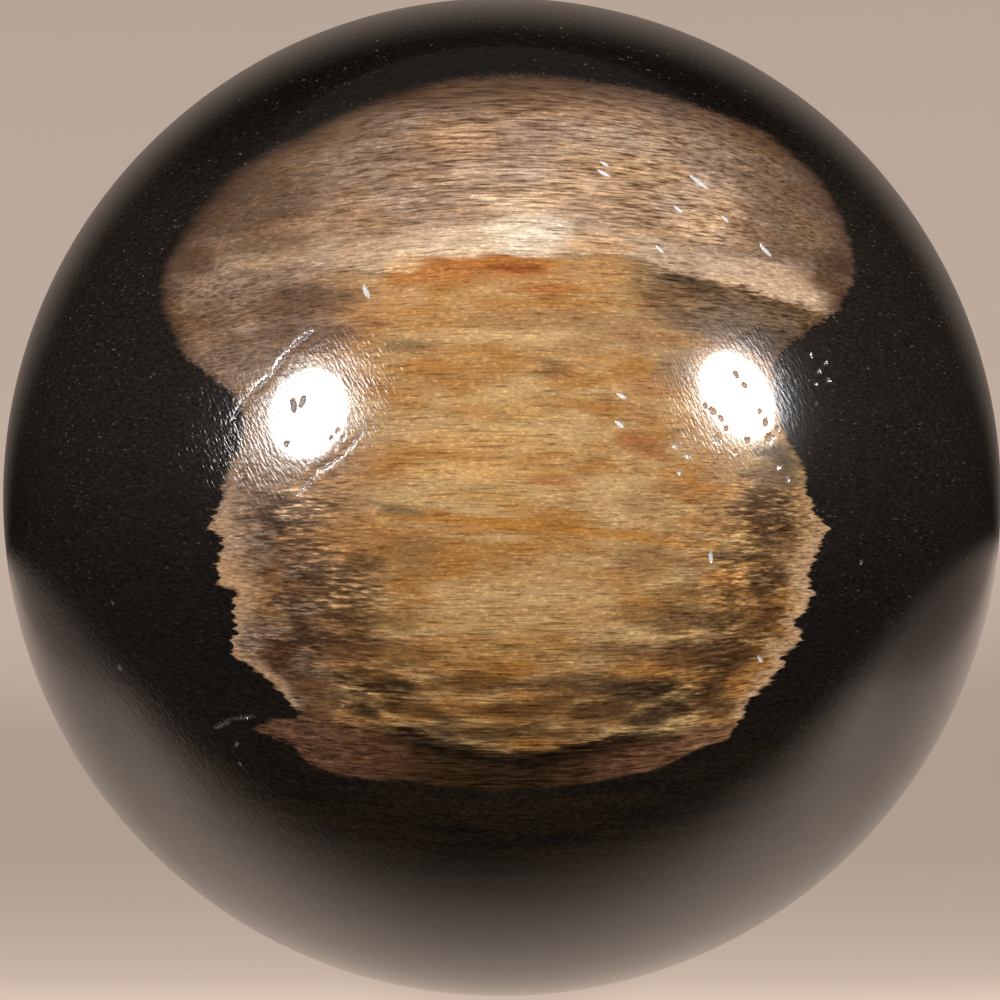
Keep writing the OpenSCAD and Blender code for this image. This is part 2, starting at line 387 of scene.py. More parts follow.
# %% Pools of the flanks
FLANKS = [
    # left, from the waist down
    (-335, 44, 92, 37, 0, (186, 142, 98), 0.75),  # waist, left
    (-405, -12, 83, 44, 0, (212, 171, 130), 0.8),  # below the waist, left
    (-315, -12, 83, 37, 0, (170, 129, 87), 0.75),  # below the waist, inner
    (-469, -22, 41, 48, 0, (118, 92, 72), 0.85),  # edge, high
    (-453, -70, 44, 37, 0, (100, 75, 57), 0.85),  # dark edge, high
    (-461, -156, 29, 55, 0, (126, 91, 58), 0.8),  # gold edge inside the rim
    (-405, -90, 70, 52, 0, (158, 119, 84), 0.8),  # high
    (-309, -86, 83, 48, 0, (182, 134, 86), 0.8),  # inner
    (-194, -130, 83, 48, 0, (148, 108, 66), 0.65),  # innermost
    (-315, -190, 92, 48, 0, (146, 110, 73), 0.8),  # middle
    (-273, -130, 52, 29, 0, (122, 89, 55), 0.85),  # brown pool
    (-405, -190, 52, 44, 0, (112, 82, 58), 0.8),  # dark pool
    (-281, -251, 66, 33, 0, (130, 96, 61), 0.8),  # second brown pool
    (-200, -246, 55, 28, 0, (140, 103, 62), 0.7),  # gold pool
    (-469, -218, 41, 48, 0, (168, 125, 82), 0.8),  # gold by the rim
    (-375, -287, 81, 41, 0, (110, 81, 56), 0.85),  # dark
    (-409, -251, 37, 29, 0, (80, 58, 42), 0.8),  # dark fleck
    (-333, -246, 52, 31, 0, (164, 122, 83), 0.85),  # light fleck
    (-281, -303, 83, 41, 0, (96, 67, 44), 0.85),  # dark and inner
    (-445, -317, 55, 44, 0, (104, 72, 47), 0.9),  # low
    (-194, -317, 83, 33, 0, (128, 90, 50), 0.8),  # low and inner
    (-399, -379, 66, 29, -15, (102, 70, 45), 0.85),  # left foot
    (-248, -375, 138, 29, -8, (70, 50, 31), 0.85),  # left foot, inner
    (-164, -429, 129, 22, -10, (82, 58, 35), 0.85),  # left foot, low
    (-325, -419, 83, 17, -20, (120, 88, 58), 0.75),  # light layer by the arc
    (-373, -431, 48, 17, -8, (120, 88, 60), 0.85),  # light foot by the wedge
    (-279, -427, 44, 20, -25, (60, 43, 32), 0.9),  # dark end of the arc
    # right, from the waist down
    (441, 54, 55, 44, 0, (182, 150, 114), 0.6),  # waist, right
    (567, 46, 55, 44, 0, (112, 91, 72), 0.85),  # waist, right edge
    (549, 90, 48, 33, 0, (84, 70, 56), 0.8),  # dark by the right spot
    (513, 42, 44, 37, 0, (146, 120, 94), 0.7),  # waist, right and inner
    (441, -30, 77, 55, 0, (168, 130, 90), 0.7),  # below the waist, right
    (529, -22, 88, 55, -8, (128, 98, 72), 0.85),  # high
    (553, -78, 66, 48, 0, (110, 80, 54), 0.88),  # upper
    (287, -126, 83, 41, 0, (148, 108, 66), 0.7),  # innermost
    (377, -138, 63, 33, 0, (154, 118, 80), 0.6),  # inner
    (361, -190, 63, 26, 0, (142, 104, 60), 0.8),  # gold pool
    (493, -120, 81, 17, 3, (84, 62, 44), 0.8),  # dark knot
    (441, -118, 37, 17, 0, (124, 97, 72), 0.6),  # grey fleck
    (527, -170, 63, 55, 0, (104, 76, 51), 0.85),  # middle
    (441, -190, 52, 33, 0, (150, 112, 72), 0.6),  # light
    (357, -246, 85, 44, 0, (114, 82, 52), 0.8),  # dark and inner
    (277, -236, 63, 33, 0, (144, 108, 65), 0.6),  # light and inner
    (525, -242, 63, 44, 0, (102, 74, 48), 0.85),  # low
    (437, -251, 55, 29, 0, (114, 85, 55), 0.8),  # low pool
    (447, -317, 83, 52, 10, (88, 62, 42), 0.9),  # dark
    (357, -317, 74, 37, 6, (106, 75, 49), 0.85),  # low and inner
    (277, -311, 74, 33, 0, (122, 91, 61), 0.7),  # low and innermost
    (196, -307, 74, 29, 0, (138, 104, 64), 0.6),  # beside the olive layer
    (196, -375, 74, 26, 4, (104, 78, 51), 0.8),  # beside the brown layer
    (277, -387, 111, 37, 8, (68, 50, 35), 0.9),  # right foot
    (421, -387, 63, 33, 24, (84, 60, 40), 0.85),  # right foot, outer
    (429, -421, 44, 26, 20, (94, 68, 46), 0.85),  # right foot by the rim
    (196, -431, 92, 28, 6, (86, 62, 40), 0.9),  # right foot, low
    (317, -435, 103, 29, 14, (60, 43, 30), 0.9),  # right foot, lowest
]
MOTTLES = [(-365, -216, 190, 230, 0), (501, -216, 116, 184, 0), (525, -34, 108, 88, 0),
           (377, -357, 190, 88, 15), (-275, -367, 160, 80, -15), (-405, -46, 140, 90, -10)]
print("flank pools:", len(FLANKS), "mottled zones:", len(MOTTLES))

# %% [markdown]
# ## Laying the pools
# Each point of the face takes the washes one by one. The paint and how much it covers are
# kept apart, so that the material can lay the paint over any wood.

# %% Lay the pools
SHAKEN_U = [(0.03, 5, 36, 1), (0.02, 14, 90, 2)]  # how far, waves along and across, start
SHAKEN_V = [(0.01, 9, 50, 5)]


def shaken_by(u, v, waves):
    return sum(far * noise.noise((along * u, across * v, start)) for far, along, across, start in waves)


def in_radii(row):
    """A pool's place and half-sizes in ball radii, and its lean."""
    return *(value / 1000 for value in row[:4]), row[4]


washes = [(in_radii(row), Vector(paint(*row[5])[:3]), row[6]) for row in DOME + MIDDLE + FLANKS]
mottled_zones = [in_radii(row) for row in MOTTLES]
for name, kind in (("pool_paint", "FLOAT_VECTOR"), ("pool_cover", "FLOAT"), ("mottle", "FLOAT")):
    ball.data.attributes.new(name, kind, "POINT")
pool_paint, pool_cover, mottle = (ball.data.attributes[name].data
                                  for name in ("pool_paint", "pool_cover", "mottle"))
for number, point in enumerate(ball.data.vertices):
    if point.co.dot(FACE.col[2]) < least:
        continue
    u, v = seen_place(point.co)
    shaken_u = u + shaken_by(u, v, SHAKEN_U)
    shaken_v = v + shaken_by(u, v, SHAKEN_V)
    laid, cover = Vector((0, 0, 0)), 0.0
    for place, tone, strength in washes:
        mask = strength * pool_mask(shaken_u, shaken_v, *place)
        if mask:
            laid = laid.lerp(tone, mask)
            cover += mask * (1 - cover)
    pool_paint[number].vector = laid
    pool_cover[number].value = cover
    mottle[number].value = max(pool_mask(shaken_u, shaken_v, *zone) for zone in mottled_zones)
print("washes laid:", len(washes))

# %% [markdown]
# ## Node helpers
# The looks are built from nodes. A few small helpers keep them readable, and each returns
# the socket that carries its result, so that the helpers nest like plain arithmetic.

# %% Node helpers
def new_material(name):
    """Starts a material. The helpers below add their nodes to the latest one."""
    global tree
    made = bpy.data.materials.new(name)
    made.use_nodes = True
    tree = made.node_tree
    return made, tree.nodes["Principled BSDF"]


def add(kind, **settings):
    made = tree.nodes.new("ShaderNode" + kind)
    for name, value in settings.items():
        setattr(made, name, value)
    return made


def feed(socket, value):
    if isinstance(value, bpy.types.NodeSocket):
        tree.links.new(value, socket)
    else:
        socket.default_value = value


def calc(operation, *values, clamp=False):
    made = add("Math", operation=operation, use_clamp=clamp)
    for socket, value in zip(made.inputs, values):
        feed(socket, value)
    return made.outputs[0]


def times(*masks):
    result = masks[0]
    for mask in masks[1:]:
        result = calc("MULTIPLY", result, mask)
    return result


def ease(value, low, high, top=1.0):
    """Rises smoothly from 0 at low to top at high, or falls where high is the smaller."""
    made = add("MapRange", interpolation_type="SMOOTHSTEP")
    feed(made.inputs["Value"], value)
    feed(made.inputs["From Min"], low)
    feed(made.inputs["From Max"], high)
    feed(made.inputs["To Max"], top)
    return made.outputs["Result"]


def between(value, low, high):
    """Maps 0 to low and 1 to high."""
    made = add("MapRange", clamp=False)
    feed(made.inputs["Value"], value)
    feed(made.inputs["To Min"], low)
    feed(made.inputs["To Max"], high)
    return made.outputs["Result"]


def over(under, colour, mask, mode="MIX"):
    """Lays a colour over another through a mask."""
    made = add("Mix", data_type="RGBA", blend_type=mode)
    feed(made.inputs[0], mask)
    feed(made.inputs[6], under)
    feed(made.inputs[7], colour)
    return made.outputs[2]


def follow(value, points, sharp=False):
    """A curve through given points between 0 and 1."""
    made = add("FloatCurve")
    feed(made.inputs["Value"], value)
    line = made.mapping.curves[0]
    line.points[0].location = points[0]
    line.points[1].location = points[-1]
    for point in points[1:-1]:
        line.points.new(*point)
    if sharp:
        for point in line.points:
            point.handle_type = "VECTOR"
    made.mapping.update()
    return made.outputs["Value"]


def drawn(value, points):
    """A curve through given points, over any span. It stays level past its ends."""
    low, high = points[0][0], points[-1][0]
    share = calc("MULTIPLY_ADD", value, 1 / (high - low), -low / (high - low), clamp=True)
    return follow(share, [((x - low) / (high - low), y) for x, y in points])


def layer(name):
    """A layer of values kept at the mesh's points."""
    return add("Attribute", attribute_name=name).outputs["Fac"]


def place_in_radii(turn=0.0):
    """The object's own coordinates in ball radii, turned about X."""
    made = add("Mapping")
    feed(made.inputs["Vector"], add("TexCoord").outputs["Object"])
    feed(made.inputs["Rotation"], (turn, 0, 0))
    feed(made.inputs["Scale"], (1 / BALL_R,) * 3)
    parts = add("SeparateXYZ")
    feed(parts.inputs[0], made.outputs[0])
    return made.outputs[0], *parts.outputs


print("helpers ready")

# %% [markdown]
# ## The studio
# A ball this glossy is mostly a picture of the room around it. The camera sees a plain
# pale cove: a floor that turns up into a wall all round, made by spinning one profile.
# The polish would mirror all of it and the stone would look grey. So to the polish the
# cove is pale only on the sheet of paper under the ball and straight behind it, and dark
# elsewhere, as in a darkened room.

# %% Cove
FLOOR_Z = -BALL_R
COVE_R = 4
COVE_BEND = 1.2
COVE_TOP = 3.5
BEND_STEPS = 8
SPIN_STEPS = 64
shape = bmesh.new()
profile = [shape.verts.new((0, 0, FLOOR_Z)), shape.verts.new((COVE_R - COVE_BEND, 0, FLOOR_Z))]
for step in range(1, BEND_STEPS + 1):
    turn = step / BEND_STEPS * pi / 2
    out = COVE_R - COVE_BEND + COVE_BEND * sin(turn)
    profile.append(shape.verts.new((out, 0, FLOOR_Z + COVE_BEND * (1 - cos(turn)))))
profile.append(shape.verts.new((COVE_R, 0, COVE_TOP)))
rim = [shape.edges.new(pair) for pair in zip(profile, profile[1:])]
bmesh.ops.spin(shape, geom=profile + rim, cent=(0, 0, 0), axis=(0, 0, 1),
               angle=2 * pi, steps=SPIN_STEPS, use_merge=True)
bmesh.ops.remove_doubles(shape, verts=shape.verts, dist=MM)
bmesh.ops.recalc_face_normals(shape, faces=shape.faces)
bmesh.ops.reverse_faces(shape, faces=shape.faces)
cove = link_mesh("studio_cove", shape)
cove.data.shade_smooth()
print("cove:", len(cove.data.polygons), "faces")

# %% [markdown]
# ## The paper
# One material makes both pictures of the cove. To the camera it is paper all over. To the
# polish it is an oval sheet, brightest in front, near the lamps, with a dim patch behind
# the ball where the wall is lit. Two drawn curves give the sheet's fading.

# %% Paper
PAPER_SHADED = (0.24, 0.192, 0.158, 1)
PAPER_GLOW = (1, 0.79, 0.655, 1)
PAPER_ROUGH = 0.9
SHEET = (0.32, 1.2, 3.4, 2.05)  # middle and half-sizes of the sheet's oval, in ball radii
SHEET_EDGE = (1.14, 0.86)  # the sheet fades in between these shares of its oval
SHEET_GLOW = 1.075
SIDES = [(-4, 0.3), (-2.6, 0.42), (-2.2, 0.54), (-1.65, 0.9), (-0.7, 0.77), (0.5, 0.77), (1.2, 0.85),
         (1.75, 1), (2.2, 0.68), (2.6, 0.48), (4, 0.32)]  # left to right, in ball radii, and share
GLOW = [(-1, 0.85), (-0.6, 0.8), (-0.2, 0.6), (0, 0.46), (0.4, 0.37), (0.8, 0.33),
        (3, 0.37), (5, 0.36)]  # front to back, in ball radii, and glow
BEHIND = (cos(radians(42)), cos(radians(10)))  # the patch behind the ball fades in between
BEHIND_UP = radians(10)
BEHIND_GLOW = 0.45
LAMPLIT = 0.13  # what the lamps add to the sheet, as the polish mirrors it

paper, surface = new_material("cove_paper")
spot, across, back, _ = place_in_radii()
oval = [calc("DIVIDE", calc("SUBTRACT", value, middle), half)
        for value, middle, half in zip((across, back), SHEET[:2], SHEET[2:])]
far = calc("SQRT", calc("ADD", times(oval[0], oval[0]), times(oval[1], oval[1])))
sheet = times(ease(far, *SHEET_EDGE, SHEET_GLOW), drawn(across, SIDES))
aim = add("VectorMath", operation="NORMALIZE")
feed(aim.inputs[0], spot)
facing = add("VectorMath", operation="DOT_PRODUCT")
feed(facing.inputs[0], aim.outputs[0])
feed(facing.inputs[1], FACE @ Vector((0, sin(BEHIND_UP), -cos(BEHIND_UP))))
mirrored = calc("MAXIMUM", sheet, ease(facing.outputs["Value"], *BEHIND, BEHIND_GLOW))
path = add("LightPath")
direct = path.outputs["Is Camera Ray"]
not_direct = calc("SUBTRACT", 1.0, direct)
pale_here = calc("MULTIPLY_ADD", not_direct, mirrored, direct)
seen = calc("ADD", calc("ADD", direct, path.outputs["Is Glossy Ray"]),
            path.outputs["Is Transmission Ray"], clamp=True)
lit = calc("MULTIPLY_ADD", not_direct, LAMPLIT, drawn(back, GLOW))
feed(surface.inputs["Base Color"], over((0, 0, 0, 1), PAPER_SHADED, direct))
feed(surface.inputs["Roughness"], PAPER_ROUGH)
feed(surface.inputs["Specular IOR Level"], 0.0)
feed(surface.inputs["Emission Color"], PAPER_GLOW)
feed(surface.inputs["Emission Strength"], times(lit, seen, pale_here))
cove.data.materials.append(paper)
print("paper: pale to the camera, and to the polish on the sheet alone")

# %% [markdown]
# ## The lamps
# Two small round lamps stand left and right of the camera, a little higher than the ball.
# Their reflections are the two white spots on the polish, so their places follow from
# where the spots lie: a mirror ball shows a lamp halfway between the lamp and the eye.

# %% Lamps
LAMP_AWAY = 2
LAMPS = {"lamp_left": (-49.4, 27.2, 0, (0.66, 0.66)),  # degrees round, up and rolled, size
         "lamp_right": (62, 27.4, 28, (0.58, 0.67))}
LAMP_POWER = 31.5
ROOM_COLOUR = (1, 0.95, 0.88, 1)
ROOM_LIGHT = 0.06
for name, (round_by, up_by, roll, size) in LAMPS.items():
    data = bpy.data.lights.new(name, "AREA")
    data.shape = "ELLIPSE"
    data.size, data.size_y = size
    data.energy = LAMP_POWER
    level = cos(radians(up_by))
    towards = Vector((sin(radians(round_by)) * level, -cos(radians(round_by)) * level, sin(radians(up_by))))
    lamp = bpy.data.objects.new(name, data)
    lamp.matrix_world = (Matrix.Translation(towards * LAMP_AWAY)
                         @ towards.to_track_quat("Z", "Y").to_matrix().to_4x4()
                         @ Matrix.Rotation(radians(roll), 4, "Z"))
    bpy.context.collection.objects.link(lamp)

world = bpy.data.worlds.new("dim_room")
world.use_nodes = True
sky = world.node_tree.nodes["Background"]
feed(sky.inputs["Color"], ROOM_COLOUR)
feed(sky.inputs["Strength"], ROOM_LIGHT)
bpy.context.scene.world = world
print("lamps:", ", ".join(LAMPS))

# %% [markdown]
# ## Coordinates of the wood
# The stone's pattern is a solid texture: it is worked out from each point's place in the
# ball, as real grain runs through the whole block. The grain runs level across the face,
# and the growth layers lie almost parallel to it, so they arch over in the upper half and
# sag in the lower half, like contour lines on a hill. Places on the face are given as
# seen by the camera, in ball radii from the middle: U to the right and V up. H is the
# height with the arch taken out, so that a line of equal H is one growth layer.

# %% Coordinates
stone, shader = new_material("petrified_wood")
grain_place, x_in, y_in, z_in = place_in_radii(FACE_TILT)
spread = calc("MULTIPLY_ADD", y_in, outline_slope, outline_slope * CAMERA_RADII)
U = calc("DIVIDE", x_in, spread)
V = calc("DIVIDE", z_in, spread)
ARCH = 0.26
ARCH_FROM = -0.05
arch = times(calc("SUBTRACT", V, ARCH_FROM), ARCH)
H = calc("MULTIPLY_ADD", times(U, U), arch, V)
layers = add("CombineXYZ")
for socket, value in zip(layers.inputs, (x_in, y_in, H)):
    feed(socket, value)
layer_place = layers.outputs[0]
DEPTH_SHARE = 0.3  # layers are thicker into the stone, so fibres stay long on the flanks
START_WAY = (1, 1.7, 2.3)  # the way that a start moves the noise


def grain(along, across, detail=3.0, rough=0.55, start=0.0, where=None):
    """Noise drawn out along the grain, from this many waves along and across it."""
    stretched = add("VectorMath", operation="MULTIPLY_ADD")
    feed(stretched.inputs[0], where or layer_place)
    feed(stretched.inputs[1], (along, across * DEPTH_SHARE, across))
    feed(stretched.inputs[2], [start * way for way in START_WAY])
    made = add("TexNoise")
    feed(made.inputs["Vector"], stretched.outputs[0])
    feed(made.inputs["Scale"], 1.0)
    feed(made.inputs["Detail"], detail)
    feed(made.inputs["Roughness"], rough)
    return made.outputs[0]


fine = grain(16, 230, 1, 0.85, 1.3)
middle_grain = grain(4, 34, 2, 0.6, 4.1)
broad = grain(5, 15, 2, 0.6, 7.7)
grit = grain(85, 200, 1, 0.8, 27.0)
fine_swing = between(fine, -0.5, 0.5)
middle_swing = between(middle_grain, -0.5, 0.5)
print("grain noises ready")

# %% [markdown]
# ## The window's outline
# The pale window is a cap of lighter wood that the grinding cut through. Its outline is
# drawn as a radius for each direction round the window's middle, from straight up, round by
# the left, down and the right, and back to straight up. Below, its edge breaks into teeth
# along the fibres, so the place is shaken along the grain first. Noise folded to and fro
# makes the teeth sharp, and no two alike.

# %% Outline
WINDOW_V = 0.1
# degrees from straight down, and radius
OUTLINE = [(-180, 0.742), (-161.8, 0.733), (-147.1, 0.735), (-134.9, 0.764), (-126.2, 0.763),
           (-119.8, 0.762), (-115.5, 0.753), (-111.8, 0.728), (-108.3, 0.684), (-105.3, 0.644),
           (-103.5, 0.593), (-100.5, 0.538), (-96.1, 0.512), (-91.6, 0.517), (-87.6, 0.536),
           (-83.2, 0.561), (-78.7, 0.574), (-74.4, 0.61), (-71.5, 0.587), (-69.2, 0.611), (-64, 0.632),
           (-61.4, 0.6), (-59, 0.632), (-55.2, 0.645), (-53.4, 0.68), (-50.8, 0.675), (-45.9, 0.662),
           (-40.8, 0.659), (-37.5, 0.675), (-35, 0.725), (-33.1, 0.741), (-30.1, 0.739), (-26.5, 0.732),
           (-21.1, 0.713), (-16, 0.696), (-7, 0.687), (0, 0.687), (10.2, 0.688), (17.6, 0.698),
           (24.6, 0.712), (34.4, 0.724), (38, 0.742), (41, 0.724), (45.6, 0.708), (51.5, 0.716),
           (53.5, 0.698), (56.7, 0.719), (58.9, 0.687), (61.2, 0.686), (64.1, 0.69), (67.4, 0.67),
           (70.4, 0.668), (73.4, 0.671), (76.3, 0.677), (78.7, 0.634), (83.5, 0.607), (86.6, 0.606),
           (91.4, 0.567), (99.8, 0.553), (105.9, 0.563), (109.3, 0.588), (112, 0.725), (116, 0.785),
           (122, 0.815), (130, 0.828), (140, 0.82), (150, 0.785), (165, 0.752), (180, 0.742)]
FOLDS = 3.4  # how many times the noise folds to and fro
TEETH_SHARE, FINE_SHARE = 0.5, 0.24  # of the shaking
TOOTH_HIGH, TOOTH_LOW = 0.05, 0.11  # how far it shakes the edge along the grain
ROUGH_HIGH, ROUGH_LOW = 0.03, 0.004  # how far grit shakes it across the grain
SOFT_LEFT, SOFT_RIGHT, SOFT_LOW = 0.016, 0.009, 0.004  # half-width of the edge's blur
low_half = ease(V, 0.12, -0.05)
teeth = calc("SUBTRACT", calc("PINGPONG", times(middle_grain, FOLDS), 0.5), 0.25)
shake = calc("ADD", times(teeth, TEETH_SHARE), times(fine_swing, FINE_SHARE))
u_shaken = calc("MULTIPLY_ADD", U, times(shake, between(low_half, TOOTH_HIGH, TOOTH_LOW)), U)
rough_top = times(between(grit, -0.5, 0.5), between(low_half, ROUGH_HIGH, ROUGH_LOW))
v_shaken = calc("ADD", calc("SUBTRACT", V, WINDOW_V), rough_top)
reach = calc("SQRT", calc("ADD", times(u_shaken, u_shaken), times(v_shaken, v_shaken)))
round_by = calc("ARCTAN2", u_shaken, times(v_shaken, -1.0))
round_share = calc("MULTIPLY_ADD", round_by, 1 / (2 * pi), 0.5)
edge_at = follow(round_share, [(degrees / 360 + 0.5, radius) for degrees, radius in OUTLINE], sharp=True)
inside = calc("SUBTRACT", edge_at, reach)  # depth inside the edge, in ball radii
soft = between(low_half, between(ease(U, -0.3, 0.3), SOFT_LEFT, SOFT_RIGHT), SOFT_LOW)
on_front = ease(y_in, 0.0, -0.2)
window = times(ease(inside, times(soft, -1.0), soft), on_front)
print("outline points:", len(OUTLINE))

# %% [markdown]
# ## Shapes on the face
# Two more shapes are worked out in the material itself, because their edges are crisp: a
# patch, which is an ellipse with its edges drawn out along the fibres, and a curve across
# the face from left to right, drawn through listed points.

# %% Patch and curve
SHAKE_ALONG, SHAKE_ACROSS = 0.09, 0.025
shaken = add("CombineXYZ")
feed(shaken.inputs[0], calc("MULTIPLY_ADD", middle_swing, SHAKE_ALONG, U))
feed(shaken.inputs[1], calc("MULTIPLY_ADD", fine_swing, SHAKE_ACROSS, V))
feed(shaken.inputs[2], 1.0)  # lets one dot product turn, shift and scale


def patch(across, up, long, high, lean=0.0, core=0.1):
    """Mask of an ellipse: 1 in its core, 0 at its edge."""
    turned = radians(lean)
    far = 0.0
    for axis, half in (((cos(turned), sin(turned)), long), ((-sin(turned), cos(turned)), high)):
        side = add("VectorMath", operation="DOT_PRODUCT")
        feed(side.inputs[0], shaken.outputs[0])
        shift = -(axis[0] * across + axis[1] * up)
        feed(side.inputs[1], [value / half for value in (*axis, shift)])
        far = calc("MULTIPLY_ADD", side.outputs["Value"], side.outputs["Value"], far)
    return ease(far, 1.0, core)


def along_face(points):
    """A curve drawn from left to right across the face. It may go below zero."""
    low = min(height for _, height in points)
    return calc("ADD", drawn(U, [(across, height - low) for across, height in points]), low)


print("patch and curve ready")

# %% [markdown]
# ## The seam and the dome
# A sharp growth line runs across the upper part of the window. Above it lies the dome of
# greyer wood, palest along the line. Below it the wood is golden, with a rust-red layer
# under the line in the middle and a dark pocket under its right end. The line is drawn
# too, as its height for each place from left to right.

# %% Seam
SEAM = [(-0.8, 0.38), (-0.6, 0.42), (-0.5, 0.437), (-0.4, 0.447), (-0.32, 0.453), (-0.25, 0.445),
        (-0.2, 0.462), (-0.12, 0.483), (0, 0.484), (0.12, 0.483), (0.24, 0.481), (0.3, 0.461),
        (0.4, 0.435), (0.5, 0.411), (0.6, 0.378), (0.66, 0.362), (0.8, 0.33)]
PALE = [(-0.8, 0), (-0.62, 0.2), (-0.5, 0.35), (-0.36, 0.5), (-0.2, 0.85), (-0.1, 0.9), (0, 0.95),
        (0.13, 0.9), (0.17, 0.6), (0.3, 0.55), (0.42, 0.75), (0.5, 0.95), (0.62, 1), (0.66, 0.45),
        (0.69, 0), (0.8, 0)]
FEATHER = 0.03  # how far fibres cross the seam
GREY_WOOD, PALE_WOOD, CREAM_REFLECTION = paint(150, 121, 98), paint(216, 183, 150), paint(236, 213, 186)
GOLD_DARK, GOLD_LIGHT = paint(174, 122, 66), paint(202, 162, 110)
RUST, POCKET = paint(182, 114, 58), paint(98, 79, 59)
feather = calc("ADD", times(fine_swing, FEATHER), times(middle_swing, FEATHER))
above = calc("ADD", calc("SUBTRACT", V, along_face(SEAM)), feather)
below = ease(above, 0.006, -0.008)
gold = over(GOLD_DARK, GOLD_LIGHT, ease(broad, 0.34, 0.66))
left_of_gold = calc("MULTIPLY_ADD", middle_swing, 0.1, U)
wood = over(GREY_WOOD, gold, times(below, ease(left_of_gold, -0.44, -0.2)))
pale_top = between(ease(U, 0.3, 0.45), 0.1, 0.08)
pale = times(ease(above, -0.004, 0.014), ease(above, pale_top, 0.04), along_face(PALE))
wood = over(wood, PALE_WOOD, pale)
# Painted reflection: a soft pale patch with a crisp right edge, the reflection of something bright in the
# room, painted on the dome.
cream_reflection = times(patch(0.05, 0.532, 0.12, 0.062), ease(U, 0.155, 0.135))
wood = over(wood, CREAM_REFLECTION, cream_reflection)
rust = times(below, ease(above, -0.075, -0.025), ease(U, -0.27, -0.2), ease(U, 0.18, 0.05, 0.9))
wood = over(wood, RUST, rust)
pocket = times(below, ease(above, -0.16, -0.05), ease(U, 0.2, 0.34), ease(U, 0.7, 0.6, 0.9))
wood = over(wood, POCKET, pocket)
print("seam points:", len(SEAM))

# %% [markdown]
# ## Pools over the wood
# The material reads the finished pools from the mesh and lays them over the wood. A wash
# takes better on some fibres than on others, so fine grain runs through the pools too.

# %% Pools over the wood
TAKES_LEAST, TAKES_MOST = 0.75, 1.25
washed = between(fine, TAKES_LEAST, TAKES_MOST)
cover = times(layer("pool_cover"), washed)
wash = add("VectorMath", operation="SCALE")
feed(wash.inputs[0], add("Attribute", attribute_name="pool_paint").outputs["Vector"])
feed(wash.inputs["Scale"], washed)
wood = over(over(wood, (0, 0, 0, 1), cover), wash.outputs[0], 1.0, "ADD")
print("nodes so far:", len(tree.nodes))

# %% [markdown]
# ## The dark arc
# At the bottom of the window a dark growth layer sags across, with brown wood below it.
# It is one more drawn curve, and masks on both sides of the curve make the layer.

# %% Arc at the bottom
ARC = [(-0.8, -0.41), (-0.45, -0.42), (-0.413, -0.429), (-0.349, -0.441), (-0.267, -0.455),
       (-0.204, -0.464), (-0.14, -0.481), (-0.082, -0.497), (0.036, -0.51), (0.122, -0.503),
       (0.188, -0.491), (0.253, -0.473), (0.319, -0.465), (0.4, -0.45), (0.8, -0.42)]
ARC_FEATHER = 0.8  # as a share of the seam's
ARC_DARK = paint(36, 27, 20)
LOWER_DARK, LOWER_BROWN, LOWER_TAN = paint(66, 48, 31), paint(122, 85, 63), paint(170, 130, 94)
sag = calc("ADD", calc("SUBTRACT", V, along_face(ARC)), times(feather, ARC_FEATHER))
aside = calc("ABSOLUTE", calc("ADD", U, 0.02))
lower = over(LOWER_DARK, LOWER_BROWN, ease(aside, 0.08, 0.32))
lower = over(lower, LOWER_TAN, ease(U, 0.31, 0.46, 0.9))
wood = over(wood, lower, times(ease(sag, 0.0, -0.02), ease(V, -0.36, -0.42)))
arc_ends = times(ease(U, -0.32, -0.14), ease(U, 0.4, 0.24, 0.92))
wood = over(wood, ARC_DARK, times(ease(sag, 0.012, -0.006), ease(sag, -0.045, -0.012), arc_ends))
print("arc points:", len(ARC))

# %% [markdown]
# ## Mottle and rim
# Towards its sides the window is mottled with dark and light dashes along the fibres, and
# outside them runs a pale tan rim. The dashes are one more noise, let through where the
# mottled zones lie. The rim follows the outline, from the depth inside the edge.

# %% Mottle and rim
mottled = layer("mottle")
ring = times(ease(inside, 0.4, 0.16), low_half)
dashes = grain(24, 150, 2, 0.68, 13.1)
clumps = ease(broad, 0.36, 0.58)
crowded = times(calc("MAXIMUM", times(ring, 0.55), mottled), between(clumps, 0.45, 1.0))
DASH_DARK, DASH_LIGHT = (0.38, 0.35, 0.33, 1), (2.2, 2.2, 2.05, 1)  # tints
dark_dash = ease(calc("MULTIPLY_ADD", crowded, 0.1, dashes), 0.52, 0.64, 0.95)
wood = over(wood, DASH_DARK, times(crowded, dark_dash), "MULTIPLY")
light_dash = ease(dashes, 0.45, 0.32, 0.85)
wood = over(wood, DASH_LIGHT, times(crowded, light_dash), "MULTIPLY")
RIM_LEFT, RIM_RIGHT = paint(200, 161, 126), paint(208, 168, 128)
to_right = ease(U, -0.2, 0.2)
wide_left = between(ease(V, -0.2, -0.3), 0.07, 0.024)
wide_right = between(ease(V, -0.3, -0.42), between(ease(V, 0.0, -0.12), 0.022, 0.05), 0.03)
rim_depth = calc("DIVIDE", inside, between(to_right, wide_left, wide_right))
rim_share = calc("MULTIPLY_ADD", middle_swing, 1.3, rim_depth)
rim_mask = times(ease(rim_share, 1.0, 0.3, 0.95), ease(V, 0.06, -0.06), ease(sag, -0.02, 0.01))
wood = over(wood, over(RIM_LEFT, RIM_RIGHT, to_right), rim_mask)
print("nodes with the mottle and rim:", len(tree.nodes))

# %% [markdown]
# ## Grain
# Fine dark and light fibres shade the whole window, most of all the dome. A fibre is a
# multiplied tint, so it keeps the colour of the wood that it runs through. A fine speckle
# of cells lies over them, and the dome's edge darkens into a brown fringe.

